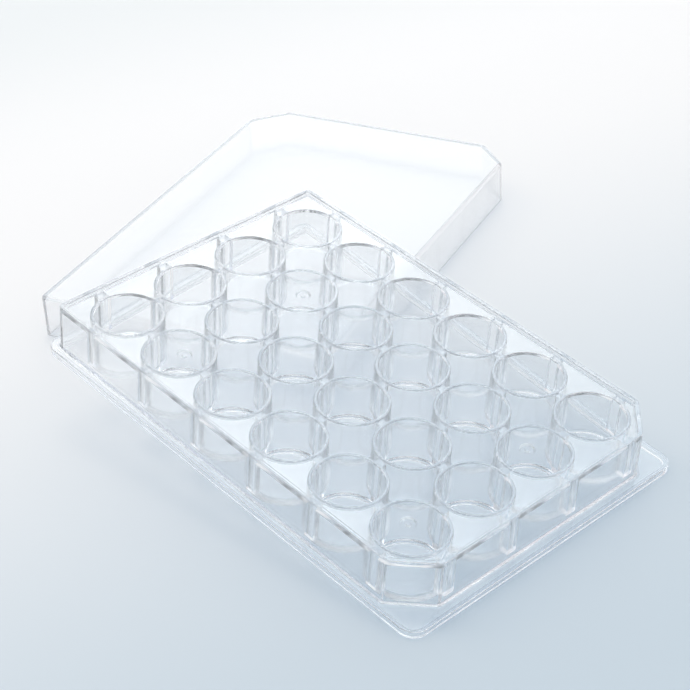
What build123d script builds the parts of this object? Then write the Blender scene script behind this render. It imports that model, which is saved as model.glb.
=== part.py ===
from build123d import *
import os
from math import asin, atan2, cos, degrees, hypot, sin, sqrt

# A 24-well culture plate with its lid taken off. The lid lies flat with its open side down, and the
# plate leans on one corner of the lid. Sizes are in millimetres.
#
# Each piece is built in its own frame: X along its length, Y across, Z up from the plane it stands on.
# The assembled part has +Z up, X along the plate, and its origin at the bottom centre of its box.

# ---- Wells -------------------------------------------------------------------------------------
well_columns = 6
well_rows = 4
well_pitch = 19.3
well_outer_r = 8.95          # outside of a well at its rim
well_wall = 0.9              # at the rim
well_draft = 0.15            # how much the bore narrows and the outside widens down to the floor
well_depth = 11.7
well_floor = 1.0             # thickness of the clear window under a well
well_floor_fillet = 1.0
well_foot_round = 0.5        # outside, around the underside
rim_round = 0.3

# ---- Base sheet and foot -----------------------------------------------------------------------
end_ledge = 3.08             # the foot stands out this far from the wall, at the ends
side_ledge = 2.24            # and along the sides
foot_corner_r = 4.0
foot_wall = 1.2              # thickness of the rim that the plate stands on
foot_edge_round = 0.3
well_lift = 0.5              # from the standing plane up to the underside of the wells
sheet_top = 1.8
sheet_thickness = 0.9

# ---- Deck between the outer wells and the side wall ----------------------------------------------
deck_drop = 0.2              # below the rims
deck_thickness = 1.0

# ---- Side wall ---------------------------------------------------------------------------------
end_gap = 2.4                # between the outer wells and the wall, at the ends
side_gap = 1.4               # and along the sides
body_cut = 8.5               # 45 degree cut at the two corners of the +X end
body_corner_r = 1.6          # the other two corners
cut_round = 1.6              # softening where a cut meets a side
wall_thickness = 1.2
wall_rise = 0.7              # how far the wall stands above the rims of the wells
wall_draft = 0.15            # how much the wall leans out from its top to its base
wall_edge_round = 0.25
ledge_fillet = 0.8           # outside, where the wall meets the ledge that the lid comes down to

# ---- Ribs between the wells, and webs from the outer wells to the wall ----------------------------
rib_thickness = 2.0
rib_drop = 0.5               # below the rims
web_thickness = 2.7
web_lift = 3.0               # from the standing plane up to the webs

# ---- Gate marks, between four wells near each corner ----------------------------------------------
gate_r = 2.1
gate_depth = 0.35
gate_stub_r = 0.7
gate_stub_top_r = 0.55
gate_stub_height = 0.3
gate_column_offset = 2       # pitches from the middle of the plate along X
gate_row_offset = 1          # pitches from the middle of the plate along Y

# ---- Lid ---------------------------------------------------------------------------------------
lid_height = 12.0
lid_wall = 1.0
lid_top = 1.1
lid_clearance = 0.2          # between the lid's skirt and the plate's wall, on each side
lid_corner_r = 1.2           # the two corners that aren't cut
lid_cut_round = 2.5
lid_edge_round = 0.8
lid_inner_round = 0.4

# ---- How the plate leans on the lid ----------------------------------------------------------------
lean_column = 2              # the well whose underside rests on the lid's corner, counted from 0
lean_row = 2
lean_offset_x = -7.95        # where they meet, from the middle of that well
lean_offset_y = -2.45
lean_gap = 0.05
lid_turn = 110.8             # heading of the lid's length, in degrees from X

# ---- Working values --------------------------------------------------------------------------------
level_tolerance = 1e-4       # how nearly level an edge is to count as flat
overrun = 1.0                # how far a cutting tool runs past the face that it opens

# ---- Worked out ------------------------------------------------------------------------------------
middle_length = (well_columns - 1) * well_pitch      # between the centres of the outer wells
middle_width = (well_rows - 1) * well_pitch
body_length = middle_length + 2 * (well_outer_r + end_gap + wall_thickness)
body_width = middle_width + 2 * (well_outer_r + side_gap + wall_thickness)
foot_length = body_length + 2 * end_ledge       # 127.76, the standard footprint
foot_width = body_width + 2 * side_ledge        # 85.48
well_floor_z = well_lift + well_floor
rim_z = well_floor_z + well_depth
wall_top_z = rim_z + wall_rise
rib_top_z = rim_z - rib_drop
sheet_under_z = sheet_top - sheet_thickness
well_inner_r = well_outer_r - well_wall
base_outer_r = well_outer_r + well_draft
base_inner_r = well_inner_r - well_draft
deck_top_z = rim_z - deck_drop
lean_x = (lean_column - (well_columns - 1) / 2) * well_pitch + lean_offset_x
lean_y = (lean_row - (well_rows - 1) / 2) * well_pitch + lean_offset_y


def body_outline(grow, corner_r, cut_r):
    """The plate's outline from above, grown outwards by a margin. The +X corners are cut."""
    face = Rectangle(body_length + 2 * grow, body_width + 2 * grow)
    cut = body_cut + (2 - sqrt(2)) * grow
    face = chamfer(face.vertices().sort_by(Axis.X)[-2:], cut)
    face = fillet(face.vertices().sort_by(Axis.X)[:2], corner_r)
    ends = [v for v in face.vertices() if v.X > body_length / 4]
    return fillet(ends, cut_r)


def wall_block(grow, low_z, high_z):
    """A solid with the wall's outline moved out by a margin, leaning out by the draft to its base."""
    corner_r = body_corner_r + grow
    cut_r = cut_round + grow
    low = Pos(0, 0, low_z) * body_outline(grow + wall_draft, corner_r, cut_r)
    high = Pos(0, 0, high_z) * body_outline(grow, corner_r, cut_r)
    return loft([low, high], ruled=True)


def edges_at(solid, z):
    """The edges of a solid that lie flat at height z."""
    low = [e for e in solid.edges() if abs(e.bounding_box().min.Z - z) < level_tolerance]
    return [e for e in low if abs(e.bounding_box().max.Z - z) < level_tolerance]


def foot_outline(grow):
    """The foot's outline from above, grown outwards by a margin."""
    return RectangleRounded(foot_length + 2 * grow, foot_width + 2 * grow, foot_corner_r + grow)


def well_centres():
    """Where the wells stand, from the middle of the plate."""
    for column in range(well_columns):
        for row in range(well_rows):
            x = (column - (well_columns - 1) / 2) * well_pitch
            y = (row - (well_rows - 1) / 2) * well_pitch
            yield x, y


def inner_outline():
    """The outline of the space inside the side wall, at its base."""
    grow = wall_draft - wall_thickness
    return body_outline(grow, body_corner_r - wall_thickness, cut_round - wall_thickness)


def frame():
    """The side wall, the ledge around it and the foot rim under the ledge, open from top to bottom."""
    sheet = extrude(Pos(0, 0, sheet_under_z) * foot_outline(0), sheet_thickness)
    sheet = fillet(edges_at(sheet, sheet_top), foot_edge_round)
    outside = wall_block(0, sheet_top, wall_top_z)
    block = sheet + outside
    seam = [e for e in edges_at(block, sheet_top) if on_wall(e)]
    block = fillet(seam, ledge_fillet)
    block -= wall_block(-wall_thickness, sheet_top, wall_top_z)
    block -= extrude(inner_outline(), sheet_top)
    block = fillet(edges_at(block, wall_top_z), wall_edge_round)
    rim = extrude(foot_outline(0), sheet_under_z) - extrude(foot_outline(-foot_wall), sheet_under_z)
    return block + rim


def deck():
    """The level border from the side wall in to the lines of the outer wells' centres."""
    slab = extrude(Pos(0, 0, deck_top_z - deck_thickness) * inner_outline(), deck_thickness)
    return slab - Pos(0, 0, deck_top_z) * Box(middle_length, middle_width, 2 * deck_thickness + overrun)


def floor_sheet():
    """The sheet that joins the wells near their undersides, out to the same lines."""
    return Pos(0, 0, sheet_top - sheet_thickness / 2) * Box(middle_length, middle_width, sheet_thickness)


def on_wall(edge):
    """Whether a level edge belongs to the wall's outline and not to the foot's, which lies outside it."""
    middle = edge @ 0.5
    halfway_x = (body_length + foot_length) / 4
    halfway_y = (body_width + foot_width) / 4
    return abs(middle.X) < halfway_x and abs(middle.Y) < halfway_y


def well_post():
    """The outside of one well, closed, from its underside to its rim."""
    flat_r = base_outer_r - well_foot_round
    foot_z = well_lift + well_foot_round
    with BuildSketch(Plane.XZ) as profile:
        with BuildLine():
            Polyline((0, rim_z), (0, well_lift), (flat_r, well_lift))
            RadiusArc((flat_r, well_lift), (base_outer_r, foot_z), -well_foot_round)
            Line((base_outer_r, foot_z), (well_outer_r, rim_z - rim_round))
            RadiusArc((well_outer_r, rim_z - rim_round), (well_outer_r - rim_round, rim_z), -rim_round)
            Line((well_outer_r - rim_round, rim_z), (0, rim_z))
        make_face()
    return revolve(profile.sketch, Axis.Z)


def well_bore():
    """The space inside one well, open past its rim."""
    floor_r = base_inner_r - well_floor_fillet
    above = wall_top_z + overrun
    with BuildSketch(Plane.XZ) as profile:
        with BuildLine():
            Polyline((0, above), (0, well_floor_z), (floor_r, well_floor_z))
            RadiusArc((floor_r, well_floor_z), (base_inner_r, well_floor_z + well_floor_fillet),
                      -well_floor_fillet)
            Line((base_inner_r, well_floor_z + well_floor_fillet), (well_inner_r, rim_z - rim_round))
            RadiusArc((well_inner_r, rim_z - rim_round), (well_inner_r + rim_round, rim_z), rim_round)
            Polyline((well_inner_r + rim_round, rim_z), (well_inner_r + rim_round, above), (0, above))
        make_face()
    return revolve(profile.sketch, Axis.Z)


def bar(center_x, center_y, along, across, low_z, high_z):
    """A block from one height to another."""
    return Pos(center_x, center_y, (low_z + high_z) / 2) * Box(along, across, high_z - low_z)


def ribs():
    """Upright ribs and webs on the lines of the well centres. The bores are cut out later."""
    end_x = (body_length - wall_thickness) / 2
    end_y = (body_width - wall_thickness) / 2
    web_x = end_x - middle_length / 2
    web_y = end_y - middle_width / 2
    bars = []
    for row in range(well_rows):
        y = (row - (well_rows - 1) / 2) * well_pitch
        bars.append(bar(0, y, middle_length, rib_thickness, sheet_under_z, rib_top_z))
        for side in (-1, 1):
            bars.append(bar(side * (end_x - web_x / 2), y, web_x, web_thickness, web_lift, rib_top_z))
    for column in range(well_columns):
        x = (column - (well_columns - 1) / 2) * well_pitch
        bars.append(bar(x, 0, rib_thickness, middle_width, sheet_under_z, rib_top_z))
        for side in (-1, 1):
            bars.append(bar(x, side * (end_y - web_y / 2), web_thickness, web_y, web_lift, rib_top_z))
    return bars


def gate_centres():
    for side_x in (-1, 1):
        for side_y in (-1, 1):
            yield side_x * gate_column_offset * well_pitch, side_y * gate_row_offset * well_pitch


def build_plate():
    plate = frame() + deck() + floor_sheet()
    post = well_post()
    bore = well_bore()
    plate += [Pos(x, y, 0) * post for x, y in well_centres()]
    plate += ribs()
    plate -= [Pos(x, y, 0) * bore for x, y in well_centres()]
    dimple = Cone(gate_r - gate_depth, gate_r, gate_depth, align=(Align.CENTER, Align.CENTER, Align.MAX))
    stub = Cone(gate_stub_r, gate_stub_top_r, gate_stub_height, align=(Align.CENTER, Align.CENTER, Align.MIN))
    plate -= [Pos(x, y, sheet_top) * dimple for x, y in gate_centres()]
    plate += [Pos(x, y, sheet_top - gate_depth) * stub for x, y in gate_centres()]
    return plate


def build_lid():
    outer = extrude(body_outline(lid_clearance + lid_wall, lid_corner_r, lid_cut_round), lid_height)
    outer = fillet(edges_at(outer, lid_height), lid_edge_round)
    inner_outline = body_outline(lid_clearance, lid_corner_r - lid_wall, lid_cut_round - lid_wall)
    inner = extrude(inner_outline, lid_height - lid_top)
    inner = fillet(edges_at(inner, lid_height - lid_top), lid_inner_round)
    return outer - inner


def lean_angle():
    """The plate's tilt about its +X foot edge, in radians, with its underside on the lid's rounded corner."""
    reach = foot_length / 2 - lean_x
    rise = lid_height - lid_edge_round
    drop = lid_edge_round + lean_gap - well_lift
    return asin(rise / hypot(reach, drop)) + atan2(drop, reach)


def lean(plate):
    """Tilts the plate about its +X foot edge, with its -X end raised."""
    edge = foot_length / 2
    return Pos(edge, 0, 0) * Rot(0, degrees(lean_angle()), 0) * Pos(-edge, 0, 0) * plate


def lay(lid):
    """Turns the lid and puts its rounded corner under the plate, where the two meet."""
    tilt = lean_angle()
    edge = foot_length / 2
    meet_x = edge + (lean_x - edge) * cos(tilt) + (well_lift - lean_gap) * sin(tilt)
    round_x = meet_x - lid_edge_round * sin(tilt) - (lid_corner_r - lid_edge_round)
    to_round_x = body_length / 2 + lid_clearance + lid_wall - lid_corner_r
    to_round_y = body_width / 2 + lid_clearance + lid_wall - lid_corner_r
    return Pos(round_x, lean_y, 0) * Rot(0, 0, lid_turn) * Pos(to_round_x, to_round_y, 0) * lid


def main():
    pieces = {"plate": lean(build_plate()), "lid": lay(build_lid())}
    box = pieces["plate"].bounding_box().add(pieces["lid"].bounding_box())
    home = Pos(-(box.min.X + box.max.X) / 2, -(box.min.Y + box.max.Y) / 2, -box.min.Z)
    os.makedirs("parts", exist_ok=True)
    for name, piece in pieces.items():
        placed = home * piece
        export_step(placed, f"parts/{name}.step")
        print(name, len(placed.solids()), placed.volume, placed.bounding_box())


main()
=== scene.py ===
from math import radians

import bpy
from bpy.props import FloatProperty, FloatVectorProperty, PointerProperty
from bpy.types import Operator, Panel, PropertyGroup
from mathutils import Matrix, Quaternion, Vector


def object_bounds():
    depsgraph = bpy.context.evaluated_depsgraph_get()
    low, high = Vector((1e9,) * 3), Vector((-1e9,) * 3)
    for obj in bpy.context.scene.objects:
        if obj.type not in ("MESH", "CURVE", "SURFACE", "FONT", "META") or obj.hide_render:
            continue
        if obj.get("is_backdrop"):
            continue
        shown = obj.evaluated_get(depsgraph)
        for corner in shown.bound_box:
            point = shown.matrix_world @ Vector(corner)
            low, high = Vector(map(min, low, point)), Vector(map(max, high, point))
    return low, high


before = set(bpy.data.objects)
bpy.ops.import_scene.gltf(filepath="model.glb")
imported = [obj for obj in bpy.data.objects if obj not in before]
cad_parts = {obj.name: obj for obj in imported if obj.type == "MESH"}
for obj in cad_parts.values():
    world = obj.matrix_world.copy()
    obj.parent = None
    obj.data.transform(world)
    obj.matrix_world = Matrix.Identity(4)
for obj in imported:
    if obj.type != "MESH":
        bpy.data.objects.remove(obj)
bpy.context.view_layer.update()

bl_info = {
    "name": "Well Plate",
    "version": (1, 0, 0),
    "blender": (4, 5, 0),
    "location": "3D View > Sidebar > Well Plate",
    "description": "Clear moulded finish, light and camera for a 24-well plate and its lid",
    "category": "Object",
}

# Clear polystyrene
REFRACTIVE_INDEX = 1.58
ROUGHNESS = (0.1, 0.16)              # lowest and highest
GRAIN_RANGE = (0.35, 0.75)           # the part of the noise that these two are spread over
FINE_BUMP_STRENGTH = 0.25
FINE_BUMP_SHARE = 0.02               # height of the grain as a share of the flow marks' height

# What its shadow lets through
FACE_ON_LIGHT = (0.983, 0.988, 0.993, 1)
EDGE_ON_LIGHT = (0.62, 0.68, 0.74, 1)
EDGE_BLEND = 0.35
EDGE_START = 0.4
UPRIGHT_WALL_LIGHT = (0.93, 0.945, 0.96, 1)
ALL_LIGHT = (1, 1, 1, 1)

# The surface, in metres along a line from the far left to the near right; its colour paints the fall of
# light, with painted shade towards the near right and the far edge
SURFACE_SIZE = 6
SURFACE_LINE = (0.97, -0.24, 0.0)
# Painted shade: where the surface colour darkens towards the near right and the far edge
NEAR_PAINTED_SHADE_CHANGE = (-0.09, 0.16)          # from the far colour to the near one
FAR_EDGE_PAINTED_SHADE_CHANGE = (-0.13, -0.27)          # from the far colour to the far edge's
SURFACE_ROUGHNESS = 0.7
SURFACE_SPECULAR = 0.2

UP = (0.0, 0.0, 1.0)
WARM = (1.0, 0.99, 0.975)
COOL = (0.87, 0.965, 1.0)
LAMPS = (                            # name, place in m, width and height in m, power in W, colour
    ("key_lamp", (-0.620, 0.484, 2.161), (0.8, 0.8), 13.5, WARM),
    ("left_lamp", (-1.581, -0.575, 1.569), (0.9, 0.9), 14.5, WARM),
    ("window_lamp", (-0.728, 1.212, 1.414), (0.6, 0.6), 1.8, COOL),
    ("near_window_lamp", (-1.137, 0.921, 1.364), (0.6, 0.6), 0.6, COOL),
    ("back_lamp", (-1.15, 1.0, 0.76), (0.7, 0.5), 0.9, COOL),
    ("low_back_lamp", (-1.425, 1.329, 0.450), (0.9, 0.4), 4.0, COOL),
)
LIGHT_BOUNCES = {"max_bounces": 32, "glossy_bounces": 16, "transmission_bounces": 32,
                 "transparent_max_bounces": 64}


# ---- Sizes and colours that a user may change ----------------------------------------------------

class PlasticSettings(PropertyGroup):
    """Finish of the clear moulded plastic."""
    plate_tint: FloatVectorProperty(name="Plate tint", description="Colour that the plate's plastic passes",
                                    subtype="COLOR", size=4, min=0, max=1, default=(0.996, 0.998, 1.0, 1))
    plate_shade: FloatVectorProperty(name="Plate second tint", description="Colour in the slow flow marks",
                                     subtype="COLOR", size=4, min=0, max=1, default=(0.985, 0.995, 1.0, 1))
    lid_tint: FloatVectorProperty(name="Lid tint", description="Colour that the lid's plastic passes",
                                  subtype="COLOR", size=4, min=0, max=1, default=(0.996, 0.996, 0.998, 1))
    lid_shade: FloatVectorProperty(name="Lid second tint", description="Colour in the slow flow marks",
                                   subtype="COLOR", size=4, min=0, max=1, default=(0.985, 0.992, 1.0, 1))
    depth_colour: FloatVectorProperty(name="Depth colour", description="Colour that thick plastic takes",
                                      subtype="COLOR", size=4, min=0, max=1, default=(0.6, 0.68, 0.75, 1))
    depth_density: FloatProperty(name="Depth density", description="How soon that colour shows, per metre",
                                 default=6.0, min=0, max=1000)
    flow_size: FloatProperty(name="Flow mark size", description="Width of the slow waves left by moulding",
                             subtype="DISTANCE", unit="LENGTH", default=0.016, min=0.001, max=0.1)
    flow_height: FloatProperty(name="Flow mark height", description="Height of the slow waves",
                               subtype="DISTANCE", unit="LENGTH", default=0.00012, min=0, max=0.002)
    grain_size: FloatProperty(name="Grain size", description="Size of the finest marks on the surface",
                              subtype="DISTANCE", unit="LENGTH", default=0.0012, min=0.0001, max=0.01)
    smooth_angle: FloatProperty(name="Smooth angle", description="Faces that meet at less are smooth",
                                subtype="ANGLE", default=radians(28), min=0, max=radians(180))


class StageSettings(PropertyGroup):
    """The surface, the light and the camera."""
    # Painted light: the surface has its lit colour far left, and painted shade (darker and bluer) near right
    # and at the far edge
    far_colour: FloatVectorProperty(name="Far surface colour", description="Surface behind and to the left",
                                    subtype="COLOR", size=4, min=0, max=1, default=(0.89, 0.882, 0.886, 1))
    far_edge_painted_shade_colour: FloatVectorProperty(name="Far edge colour", description="Surface far behind",
                                         subtype="COLOR", size=4, min=0, max=1, default=(0.78, 0.8, 0.81, 1))
    near_painted_shade_colour: FloatVectorProperty(name="Near surface colour", description="Surface in front and right",
                                     subtype="COLOR", size=4, min=0, max=1, default=(0.58, 0.665, 0.735, 1))
    room_colour: FloatVectorProperty(name="Room colour", description="Most of the room", subtype="COLOR",
                                     size=4, min=0, max=1, default=(0.74, 0.775, 0.82, 1))
    left_room_colour: FloatVectorProperty(name="Left room colour", description="Left side of the room",
                                          subtype="COLOR", size=4, min=0, max=1,
                                          default=(0.50, 0.56, 0.70, 1))
    right_room_colour: FloatVectorProperty(name="Right room colour", description="Right side of the room",
                                           subtype="COLOR", size=4, min=0, max=1,
                                           default=(0.86, 0.81, 0.85, 1))
    high_room_colour: FloatVectorProperty(name="High room colour", description="Upper part of the room",
                                          subtype="COLOR", size=4, min=0, max=1,
                                          default=(0.66, 0.73, 0.78, 1))
    back_room_colour: FloatVectorProperty(name="Back room colour", description="Bright part behind",
                                          subtype="COLOR", size=4, min=0, max=1, default=(0.9, 0.92, 0.94, 1))
    world_colour: FloatVectorProperty(name="World colour", description="Colour of the soft light",
                                      subtype="COLOR", size=4, min=0, max=1, default=(0.97, 0.985, 1.0, 1))
    world_strength: FloatProperty(name="World strength", description="Strength of the soft light",
                                  default=0.585, min=0, max=4)
    camera_place: FloatVectorProperty(name="Camera place", description="Where the camera stands", size=3,
                                      subtype="XYZ", unit="LENGTH", default=(0.31435, -0.28493, 0.25830))
    camera_aim: FloatVectorProperty(name="Camera aim", description="Point in the middle of the view", size=3,
                                    subtype="XYZ", unit="LENGTH", default=(0.00362, -0.01077, 0.0))
    camera_roll: FloatProperty(name="Camera roll", description="Turn about the line of sight",
                               subtype="ANGLE", default=radians(3.127))
    camera_lens: FloatProperty(name="Lens", description="Focal length in mm on a 36 mm wide frame",
                               default=98.37, min=10, max=500)


def plastic_settings():
    return bpy.context.scene.well_plate_plastic


def stage_settings():
    return bpy.context.scene.well_plate_stage


# ---- Node trees ------------------------------------------------------------------------------------

def add_node(tree, kind, **values):
    """A new node. Values name its properties, or its inputs where it has no such property."""
    node = tree.nodes.new(kind)
    for name, value in values.items():
        if hasattr(node, name):
            setattr(node, name, value)
        else:
            node.inputs[name.replace("_", " ")].default_value = value
    return node


def feed(tree, value, socket):
    """Links another node's output to an input, or gives the input a fixed value."""
    if isinstance(value, bpy.types.NodeSocket):
        tree.links.new(value, socket)
    else:
        socket.default_value = value


def noise(tree, coords, size, detail):
    """Noise whose marks are about that size, in metres."""
    node = add_node(tree, "ShaderNodeTexNoise", Scale=1 / size, Detail=detail)
    tree.links.new(coords, node.inputs["Vector"])
    return node.outputs["Fac"]


def mixed_colour(tree, share, first, second, blend="MIX"):
    """One colour turned into another, or multiplied by it, by a share from 0 to 1."""
    node = add_node(tree, "ShaderNodeMix", data_type="RGBA", blend_type=blend)
    for value, number in ((share, 0), (first, 6), (second, 7)):
        feed(tree, value, node.inputs[number])
    return node.outputs[2]


def mixed_shader(tree, share, first, second):
    """One shader where the share is 0, and the other where it is 1."""
    node = add_node(tree, "ShaderNodeMixShader")
    for value, number in ((share, 0), (first, 1), (second, 2)):
        tree.links.new(value, node.inputs[number])
    return node.outputs[0]


def length_along(tree, vector, line):
    """How far a vector reaches along a line."""
    node = add_node(tree, "ShaderNodeVectorMath", operation="DOT_PRODUCT")
    node.inputs[1].default_value = line
    tree.links.new(vector, node.inputs[0])
    return node.outputs["Value"]


def spread(tree, value, ends, low=0.0, high=1.0, steps="LINEAR"):
    """A value spread from low to high between two ends."""
    node = add_node(tree, "ShaderNodeMapRange", interpolation_type=steps)
    tree.links.new(value, node.inputs["Value"])
    node.inputs["From Min"].default_value, node.inputs["From Max"].default_value = ends
    node.inputs["To Min"].default_value, node.inputs["To Max"].default_value = low, high
    return node.outputs["Result"]


def polished_surface(tree, tint, shade):
    """The clear surface, with slow flow marks and a faint grain."""
    look = plastic_settings()
    link = tree.links.new
    coords = add_node(tree, "ShaderNodeTexCoord").outputs["Object"]
    flow = noise(tree, coords, look.flow_size, 2)
    grain = noise(tree, coords, look.grain_size, 3)
    slow_bump = add_node(tree, "ShaderNodeBump", Strength=1.0, Distance=look.flow_height)
    link(flow, slow_bump.inputs["Height"])
    fine_bump = add_node(tree, "ShaderNodeBump", Strength=FINE_BUMP_STRENGTH,
                         Distance=look.flow_height * FINE_BUMP_SHARE)
    link(grain, fine_bump.inputs["Height"])
    link(slow_bump.outputs["Normal"], fine_bump.inputs["Normal"])
    body = add_node(tree, "ShaderNodeBsdfPrincipled", IOR=REFRACTIVE_INDEX)
    body.inputs["Transmission Weight"].default_value = 1.0
    link(mixed_colour(tree, flow, tint, shade), body.inputs["Base Color"])
    link(spread(tree, grain, GRAIN_RANGE, *ROUGHNESS), body.inputs["Roughness"])
    link(fine_bump.outputs["Normal"], body.inputs["Normal"])
    return body.outputs[0]


def light_shadow(tree):
    """Lets light through to the shadow: most where it meets a level face, less at edges and upright walls."""
    edge = add_node(tree, "ShaderNodeLayerWeight", Blend=EDGE_BLEND)
    passed = add_node(tree, "ShaderNodeValToRGB")
    first, last = passed.color_ramp.elements
    first.position, first.color = EDGE_START, FACE_ON_LIGHT
    last.color = EDGE_ON_LIGHT
    tree.links.new(edge.outputs["Facing"], passed.inputs["Fac"])
    level = add_node(tree, "ShaderNodeMath", operation="ABSOLUTE")
    normal = add_node(tree, "ShaderNodeTexCoord").outputs["Normal"]
    tree.links.new(length_along(tree, normal, UP), level.inputs[0])
    dimmed = mixed_colour(tree, level.outputs[0], UPRIGHT_WALL_LIGHT, ALL_LIGHT)
    colour = mixed_colour(tree, 1.0, passed.outputs["Color"], dimmed, "MULTIPLY")
    shadow = add_node(tree, "ShaderNodeBsdfTransparent")
    tree.links.new(colour, shadow.inputs["Color"])
    return shadow.outputs[0]


def clear_plastic(name, tint, shade):
    """Polished clear plastic that takes on a colour with depth and has a light shadow."""
    look = plastic_settings()
    material = bpy.data.materials.new(name)
    material.use_nodes = True
    tree = material.node_tree
    tree.nodes.clear()
    path = add_node(tree, "ShaderNodeLightPath")
    shadow = light_shadow(tree)
    bounced = mixed_shader(tree, path.outputs["Is Diffuse Ray"], polished_surface(tree, tint, shade), shadow)
    shaded = mixed_shader(tree, path.outputs["Is Shadow Ray"], bounced, shadow)
    depth = add_node(tree, "ShaderNodeVolumeAbsorption", Density=look.depth_density)
    depth.inputs["Color"].default_value = look.depth_colour
    output = add_node(tree, "ShaderNodeOutputMaterial")
    tree.links.new(shaded, output.inputs["Surface"])
    tree.links.new(depth.outputs[0], output.inputs["Volume"])
    return material


def dress(node_name, material):
    """Gives a moulded piece its plastic, and smooth shading up to the set angle."""
    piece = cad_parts[node_name]
    for slot in piece.material_slots:
        slot.material = material
    if not piece.material_slots:
        piece.data.materials.append(material)
    modifier = piece.modifiers.new("smooth_by_angle", "NODES")
    modifier.node_group = smoothing_group()
    return piece


def smoothing_group():
    """Shades a mesh smooth, apart from the edges that are sharper than the set angle."""
    name = "smooth_by_angle"
    if name in bpy.data.node_groups:
        return bpy.data.node_groups[name]
    tree = bpy.data.node_groups.new(name, "GeometryNodeTree")
    tree.interface.new_socket("Geometry", in_out="INPUT", socket_type="NodeSocketGeometry")
    tree.interface.new_socket("Geometry", in_out="OUTPUT", socket_type="NodeSocketGeometry")
    link = tree.links.new
    start = add_node(tree, "NodeGroupInput")
    end = add_node(tree, "NodeGroupOutput")
    angle = add_node(tree, "GeometryNodeInputMeshEdgeAngle")
    flat = add_node(tree, "FunctionNodeCompare", data_type="FLOAT", operation="LESS_EQUAL")
    flat.inputs["B"].default_value = plastic_settings().smooth_angle
    link(angle.outputs["Unsigned Angle"], flat.inputs["A"])
    faces = add_node(tree, "GeometryNodeSetShadeSmooth", domain="FACE")
    edges = add_node(tree, "GeometryNodeSetShadeSmooth", domain="EDGE")
    link(start.outputs[0], faces.inputs["Geometry"])
    link(faces.outputs[0], edges.inputs["Geometry"])
    link(flat.outputs["Result"], edges.inputs["Shade Smooth"])
    link(edges.outputs[0], end.inputs[0])
    return tree


# ---- Pieces ------------------------------------------------------------------------------------------

class WELLPLATE_OT_plate(Operator):
    """Dress the plate in clear moulded plastic"""
    bl_idname = "wellplate.plate"
    bl_label = "Plate"

    def execute(self, context):
        look = plastic_settings()
        dress("plate", clear_plastic("clear_plate_plastic", look.plate_tint, look.plate_shade))
        return {"FINISHED"}


class WELLPLATE_OT_lid(Operator):
    """Dress the lid in clear moulded plastic"""
    bl_idname = "wellplate.lid"
    bl_label = "Lid"

    def execute(self, context):
        look = plastic_settings()
        dress("lid", clear_plastic("clear_lid_plastic", look.lid_tint, look.lid_shade))
        return {"FINISHED"}


# ---- Stage ---------------------------------------------------------------------------------------------

def surface_material():
    """A pale matt surface whose colour changes slowly from the far left to the near right, with painted
    shade: darker and bluer near right and darker at the far edge, where the light falls off.
    """
    stage = stage_settings()
    material = bpy.data.materials.new("pale_surface_painted_shade")
    material.use_nodes = True
    tree = material.node_tree
    coords = add_node(tree, "ShaderNodeTexCoord").outputs["Object"]
    along = length_along(tree, coords, SURFACE_LINE)
    # Painted shade: shares that darken the surface towards the near right and the far edge, standing in for
    # the fall of light
    near_painted_shade_share = spread(tree, along, NEAR_PAINTED_SHADE_CHANGE, steps="SMOOTHSTEP")
    far_painted_shade_share = spread(tree, along, FAR_EDGE_PAINTED_SHADE_CHANGE, steps="SMOOTHSTEP")
    colour = mixed_colour(tree, near_painted_shade_share, stage.far_colour, stage.near_painted_shade_colour)
    body = tree.nodes["Principled BSDF"]
    body.inputs["Roughness"].default_value = SURFACE_ROUGHNESS
    body.inputs["Specular IOR Level"].default_value = SURFACE_SPECULAR
    tree.links.new(mixed_colour(tree, far_painted_shade_share, colour, stage.far_edge_painted_shade_colour), body.inputs["Base Color"])
    return material


def soft_room():
    """Plain light on the surface, and a pale room of changing tints that the clear plastic shows."""
    stage = stage_settings()
    world = bpy.data.worlds.new("soft_room")
    world.use_nodes = True
    tree = world.node_tree
    tree.nodes.clear()
    link = tree.links.new
    direction = add_node(tree, "ShaderNodeTexCoord").outputs["Generated"]
    colour = stage.room_colour
    for tint, side, ends in (
        (stage.high_room_colour, UP, (0.5, 0.95)),
        (stage.left_room_colour, (-0.92, -0.4, 0.0), (0.3, 0.95)),
        (stage.right_room_colour, (0.26, 0.97, 0.0), (0.3, 0.95)),
        (stage.back_room_colour, (-0.61, 0.65, 0.45), (0.75, 1.0)),
    ):
        turned = spread(tree, length_along(tree, direction, side), ends, steps="SMOOTHSTEP")
        colour = mixed_colour(tree, turned, colour, tint)
    light = add_node(tree, "ShaderNodeBackground", Strength=stage.world_strength)
    light.inputs["Color"].default_value = stage.world_colour
    pale = add_node(tree, "ShaderNodeBackground", Strength=1.0)
    link(colour, pale.inputs["Color"])
    path = add_node(tree, "ShaderNodeLightPath")
    seen = path.outputs["Is Camera Ray"]
    for ray in ("Is Glossy Ray", "Is Transmission Ray"):
        either = add_node(tree, "ShaderNodeMath", operation="MAXIMUM")
        link(seen, either.inputs[0])
        link(path.outputs[ray], either.inputs[1])
        seen = either.outputs[0]
    room = mixed_shader(tree, seen, light.outputs[0], pale.outputs[0])
    link(room, add_node(tree, "ShaderNodeOutputWorld").inputs["Surface"])
    return world


def add_lamp(name, place, size, power, colour):
    """A soft lamp of that width and height that faces the middle."""
    light = bpy.data.lights.new(name, "AREA")
    light.shape = "RECTANGLE"
    light.size, light.size_y = size
    light.energy = power
    light.color = colour
    lamp = bpy.data.objects.new(name, light)
    lamp.location = place
    lamp.rotation_euler = (-Vector(place)).to_track_quat("-Z", "Y").to_euler()
    lamp.visible_camera = False
    lamp.visible_transmission = False
    bpy.context.scene.collection.objects.link(lamp)
    return lamp


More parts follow.
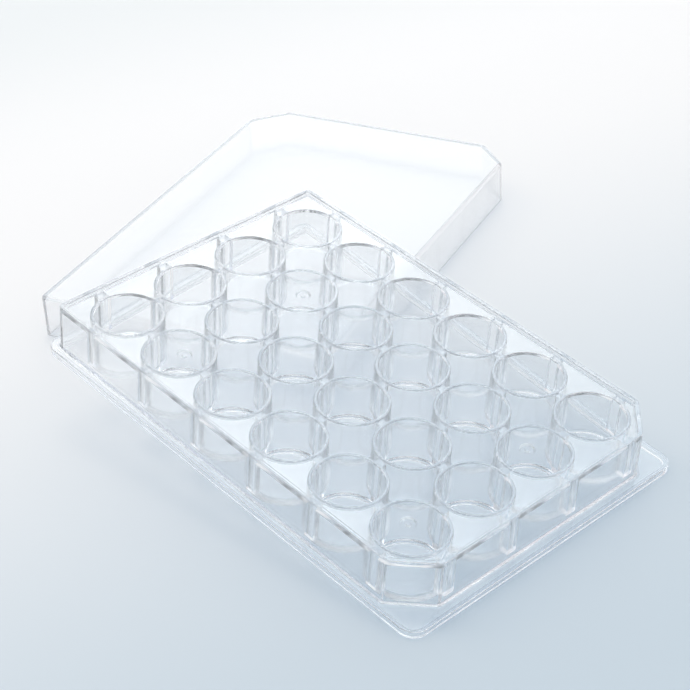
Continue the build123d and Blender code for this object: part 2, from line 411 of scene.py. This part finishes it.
class WELLPLATE_OT_stage(Operator):
    """Set the pale surface, the world and the soft lamps"""
    bl_idname = "wellplate.stage"
    bl_label = "Stage"

    def execute(self, context):
        low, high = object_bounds()
        bpy.ops.mesh.primitive_plane_add(size=SURFACE_SIZE, location=(0, 0, low.z))
        floor = context.object
        floor.name = "floor"
        floor.data.materials.append(surface_material())
        floor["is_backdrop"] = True
        context.scene.world = soft_room()
        for lamp in LAMPS:
            add_lamp(*lamp)
        context.scene.view_settings.view_transform = "Standard"
        for name, count in LIGHT_BOUNCES.items():
            setattr(context.scene.cycles, name, count)
        return {"FINISHED"}


class WELLPLATE_OT_camera(Operator):
    """Place the camera"""
    bl_idname = "wellplate.camera"
    bl_label = "Camera"

    def execute(self, context):
        stage = stage_settings()
        data = bpy.data.cameras.new("camera")
        data.sensor_width = 36
        data.lens = stage.camera_lens
        data.clip_start = 0.01
        camera = bpy.data.objects.new("camera", data)
        camera.location = stage.camera_place
        sight = Vector(stage.camera_aim) - Vector(stage.camera_place)
        turn = Quaternion(sight.normalized(), stage.camera_roll) @ sight.to_track_quat("-Z", "Y")
        camera.rotation_euler = turn.to_euler()
        context.scene.collection.objects.link(camera)
        context.scene.camera = camera
        return {"FINISHED"}


class WELLPLATE_PT_panel(Panel):
    """Pieces, stage and settings"""
    bl_label = "Well Plate"
    bl_idname = "WELLPLATE_PT_panel"
    bl_space_type = "VIEW_3D"
    bl_region_type = "UI"
    bl_category = "Well Plate"

    def draw(self, context):
        for step in STEPS:
            self.layout.operator(step.bl_idname)
        for settings in (plastic_settings(), stage_settings()):
            box = self.layout.box()
            for name in settings.bl_rna.properties.keys():
                if name not in ("rna_type", "name"):
                    box.prop(settings, name)


STEPS = (WELLPLATE_OT_plate, WELLPLATE_OT_lid, WELLPLATE_OT_stage, WELLPLATE_OT_camera)
CLASSES = (PlasticSettings, StageSettings) + STEPS + (WELLPLATE_PT_panel,)


def register():
    for cls in CLASSES:
        bpy.utils.register_class(cls)
    bpy.types.Scene.well_plate_plastic = PointerProperty(type=PlasticSettings)
    bpy.types.Scene.well_plate_stage = PointerProperty(type=StageSettings)


def unregister():
    del bpy.types.Scene.well_plate_stage
    del bpy.types.Scene.well_plate_plastic
    for cls in reversed(CLASSES):
        bpy.utils.unregister_class(cls)


def main():
    register()
    for step in STEPS:
        group, name = step.bl_idname.split(".")
        getattr(getattr(bpy.ops, group), name)()


if __name__ == "__main__":
    main()
